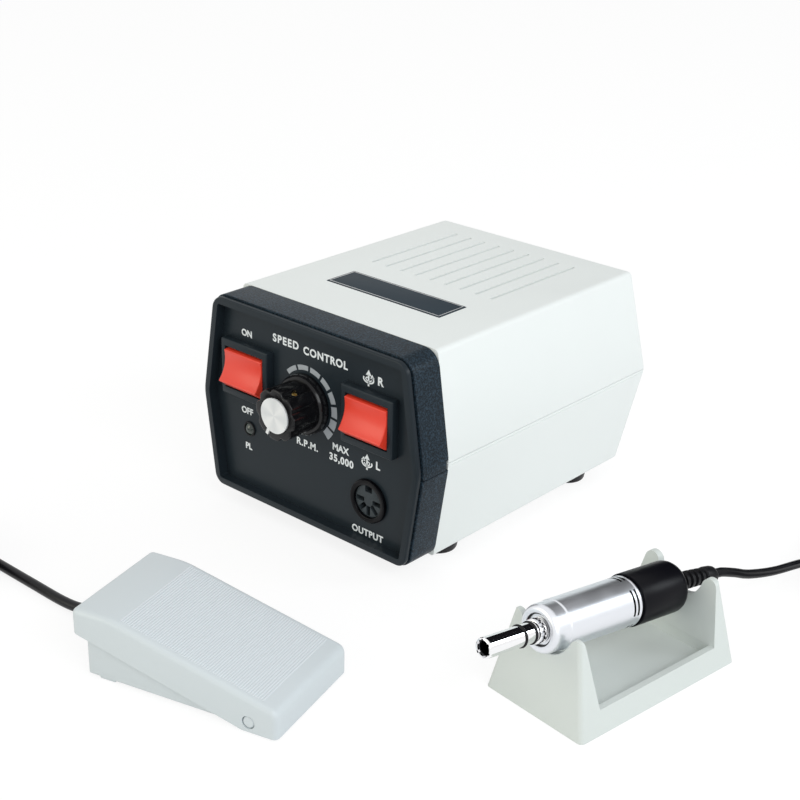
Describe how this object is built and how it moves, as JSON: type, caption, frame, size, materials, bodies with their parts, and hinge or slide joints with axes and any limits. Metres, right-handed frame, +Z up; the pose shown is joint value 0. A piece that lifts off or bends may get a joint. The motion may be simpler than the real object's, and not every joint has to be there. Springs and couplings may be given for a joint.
{
  "type": "dental laboratory micromotor set",
  "caption": "Control box with rocker switches and a speed dial, foot pedal with a hinged treadle, and a motor handpiece resting in its stand, with coiled cords and plugs.",
  "frame": {"origin": "on the bench, under the middle of the box round the three units without their cords", "axes": "+Z up, the control box faces -Y, +X to the right seen from the front of the control box"},
  "size_m": [0.405, 0.3778, 0.0989],
  "materials": {
    "steel": "bright steel",
    "black_band": "black moulded band with a grained surface",
    "black_plastic": "black moulded plastic",
    "board_green": "green circuit board with its components",
    "stand_grey": "pale grey moulded stand",
    "rocker_red": "bright red moulded plastic",
    "black_rubber": "matt black rubber",
    "slate_panel": "dark slate front panel, smooth",
    "cord_black": "black cord sheath",
    "cap_silver": "spun aluminium cap disc",
    "brass": "plain brass",
    "white_shell": "white moulded housing, fine satin texture",
    "magnet_grey": "sintered magnet ring",
    "aluminium": "satin anodised aluminium",
    "lid_plate": "dark slate plate let into the lid",
    "chrome": "polished chrome",
    "insert_grey": "dark grey moulded insert",
    "base_grey": "pale grey moulded pedal base",
    "lamp_green": "dark green translucent lens",
    "cap_black": "satin black cap",
    "knob_black": "shiny black knob",
    "lamination": "stacked transformer iron",
    "copper_winding": "enamelled copper winding",
    "treadle_grey": "pale blue-grey moulded treadle"
  },
  "bodies": {
    "set_base": {"bezel_lower": "black_band", "bezel_upper": "black_band", "circuit_board": "board_green", "cradle": "stand_grey", "din_plug_grip": "black_plastic", "din_plug_shell": "steel", "direction_switch_body": "black_plastic", "foot_back_left": "black_rubber", "foot_back_right": "black_rubber", "foot_front_left": "black_rubber", "foot_front_right": "black_rubber", "foot_socket": "steel", "foot_switch_body": "black_plastic", "front_panel": "slate_panel", "handpiece_cord": "cord_black", "handpiece_cord_coil": "cord_black", "jack_grip": "black_plastic", "jack_tip": "steel", "lower_shell": "white_shell", "mains_inlet": "black_plastic", "name_plate": "lid_plate", "output_socket_insert": "insert_grey", "output_socket_shell": "black_plastic", "pedal_base": "base_grey", "pedal_cord": "cord_black", "pedal_cord_coil": "cord_black", "pedal_grommet": "black_rubber", "pedal_pad_back": "black_rubber", "pedal_pad_front": "black_rubber", "pilot_lamp": "lamp_green", "pivot_pin": "base_grey", "power_switch_body": "black_plastic", "return_spring": "steel", "selector_body": "black_plastic", "speed_pot_body": "black_plastic", "transformer_core": "lamination", "transformer_winding": "copper_winding", "upper_shell": "white_shell"},
    "power_rocker": {"power_rocker": "rocker_red"},
    "direction_rocker": {"direction_rocker": "rocker_red"},
    "speed_dial": {"speed_knob": "knob_black", "knob_cap": "cap_silver", "knob_set_screw": "brass", "speed_shaft": "steel"},
    "fuse_cap": {"fuse_cap": "black_plastic"},
    "selector_lever": {"selector_lever": "black_plastic"},
    "treadle": {"treadle": "treadle_grey"},
    "foot_switch_button": {"foot_switch_button": "rocker_red"},
    "handpiece": {"motor_housing": "aluminium", "nose_tube": "chrome", "o_ring_front": "black_rubber", "o_ring_back": "black_rubber", "rear_cap": "cap_black", "strain_relief": "cord_black", "bearing_front": "steel", "bearing_back": "steel", "magnet_ring": "magnet_grey", "brush_holder": "black_plastic"},
    "rotor": {"rotor": "brass"}
  },
  "joints": [
    {"name": "power_rocker_tilt", "type": "hinge", "parent": "set_base", "child": "power_rocker", "pos_m": [-0.0974, -0.0125, 0.0663], "axis": [1, 0, 0], "range_deg": [0, 30]},
    {"name": "direction_rocker_tilt", "type": "hinge", "parent": "set_base", "child": "direction_rocker", "pos_m": [-0.0256, -0.0125, 0.0663], "axis": [1, 0, 0], "range_deg": [0, 30]},
    {"name": "speed_knob_turn", "type": "hinge", "parent": "set_base", "child": "speed_dial", "pos_m": [-0.06301, -0.011, 0.0618], "axis": [0, 1, 0], "range_deg": [0, 290]},
    {"name": "fuse_cap_turn", "type": "hinge", "parent": "set_base", "child": "fuse_cap", "pos_m": [-0.0656, 0.13958, 0.02864], "axis": [0, 0.9835, -0.181], "range_deg": [0, 90]},
    {"name": "selector_slide", "type": "slide", "parent": "set_base", "child": "selector_lever", "axis": [1, 0, 0], "range_m": [0, 0.004]},
    {"name": "treadle_press", "type": "hinge", "parent": "set_base", "child": "treadle", "pos_m": [0.01854, -0.10329, 0.0044], "axis": [0.2588, -0.9659, 0], "range_deg": [0, 4], "stiffness_Nm_per_rad": 2.5, "springref_deg": -8.59, "deforming": ["return_spring"]},
    {"name": "foot_switch_press", "type": "slide", "parent": "set_base", "child": "foot_switch_button", "axis": [0, 0, -1], "range_m": [0, 0.003]},
    {"name": "handpiece_lift", "type": "slide", "parent": "set_base", "child": "handpiece", "axis": [0, 0, 1], "range_m": [0, 0.02]},
    {"name": "rotor_spin", "type": "hinge", "parent": "handpiece", "child": "rotor", "pos_m": [0.0899, -0.0501, 0.0354], "axis": [0.1262, 0.9851, -0.1168], "continuous": true}
  ],
  "couplings": [
    {"joint": "foot_switch_press", "follows": "treadle_press", "m_per_rad": 0.041}
  ]
}
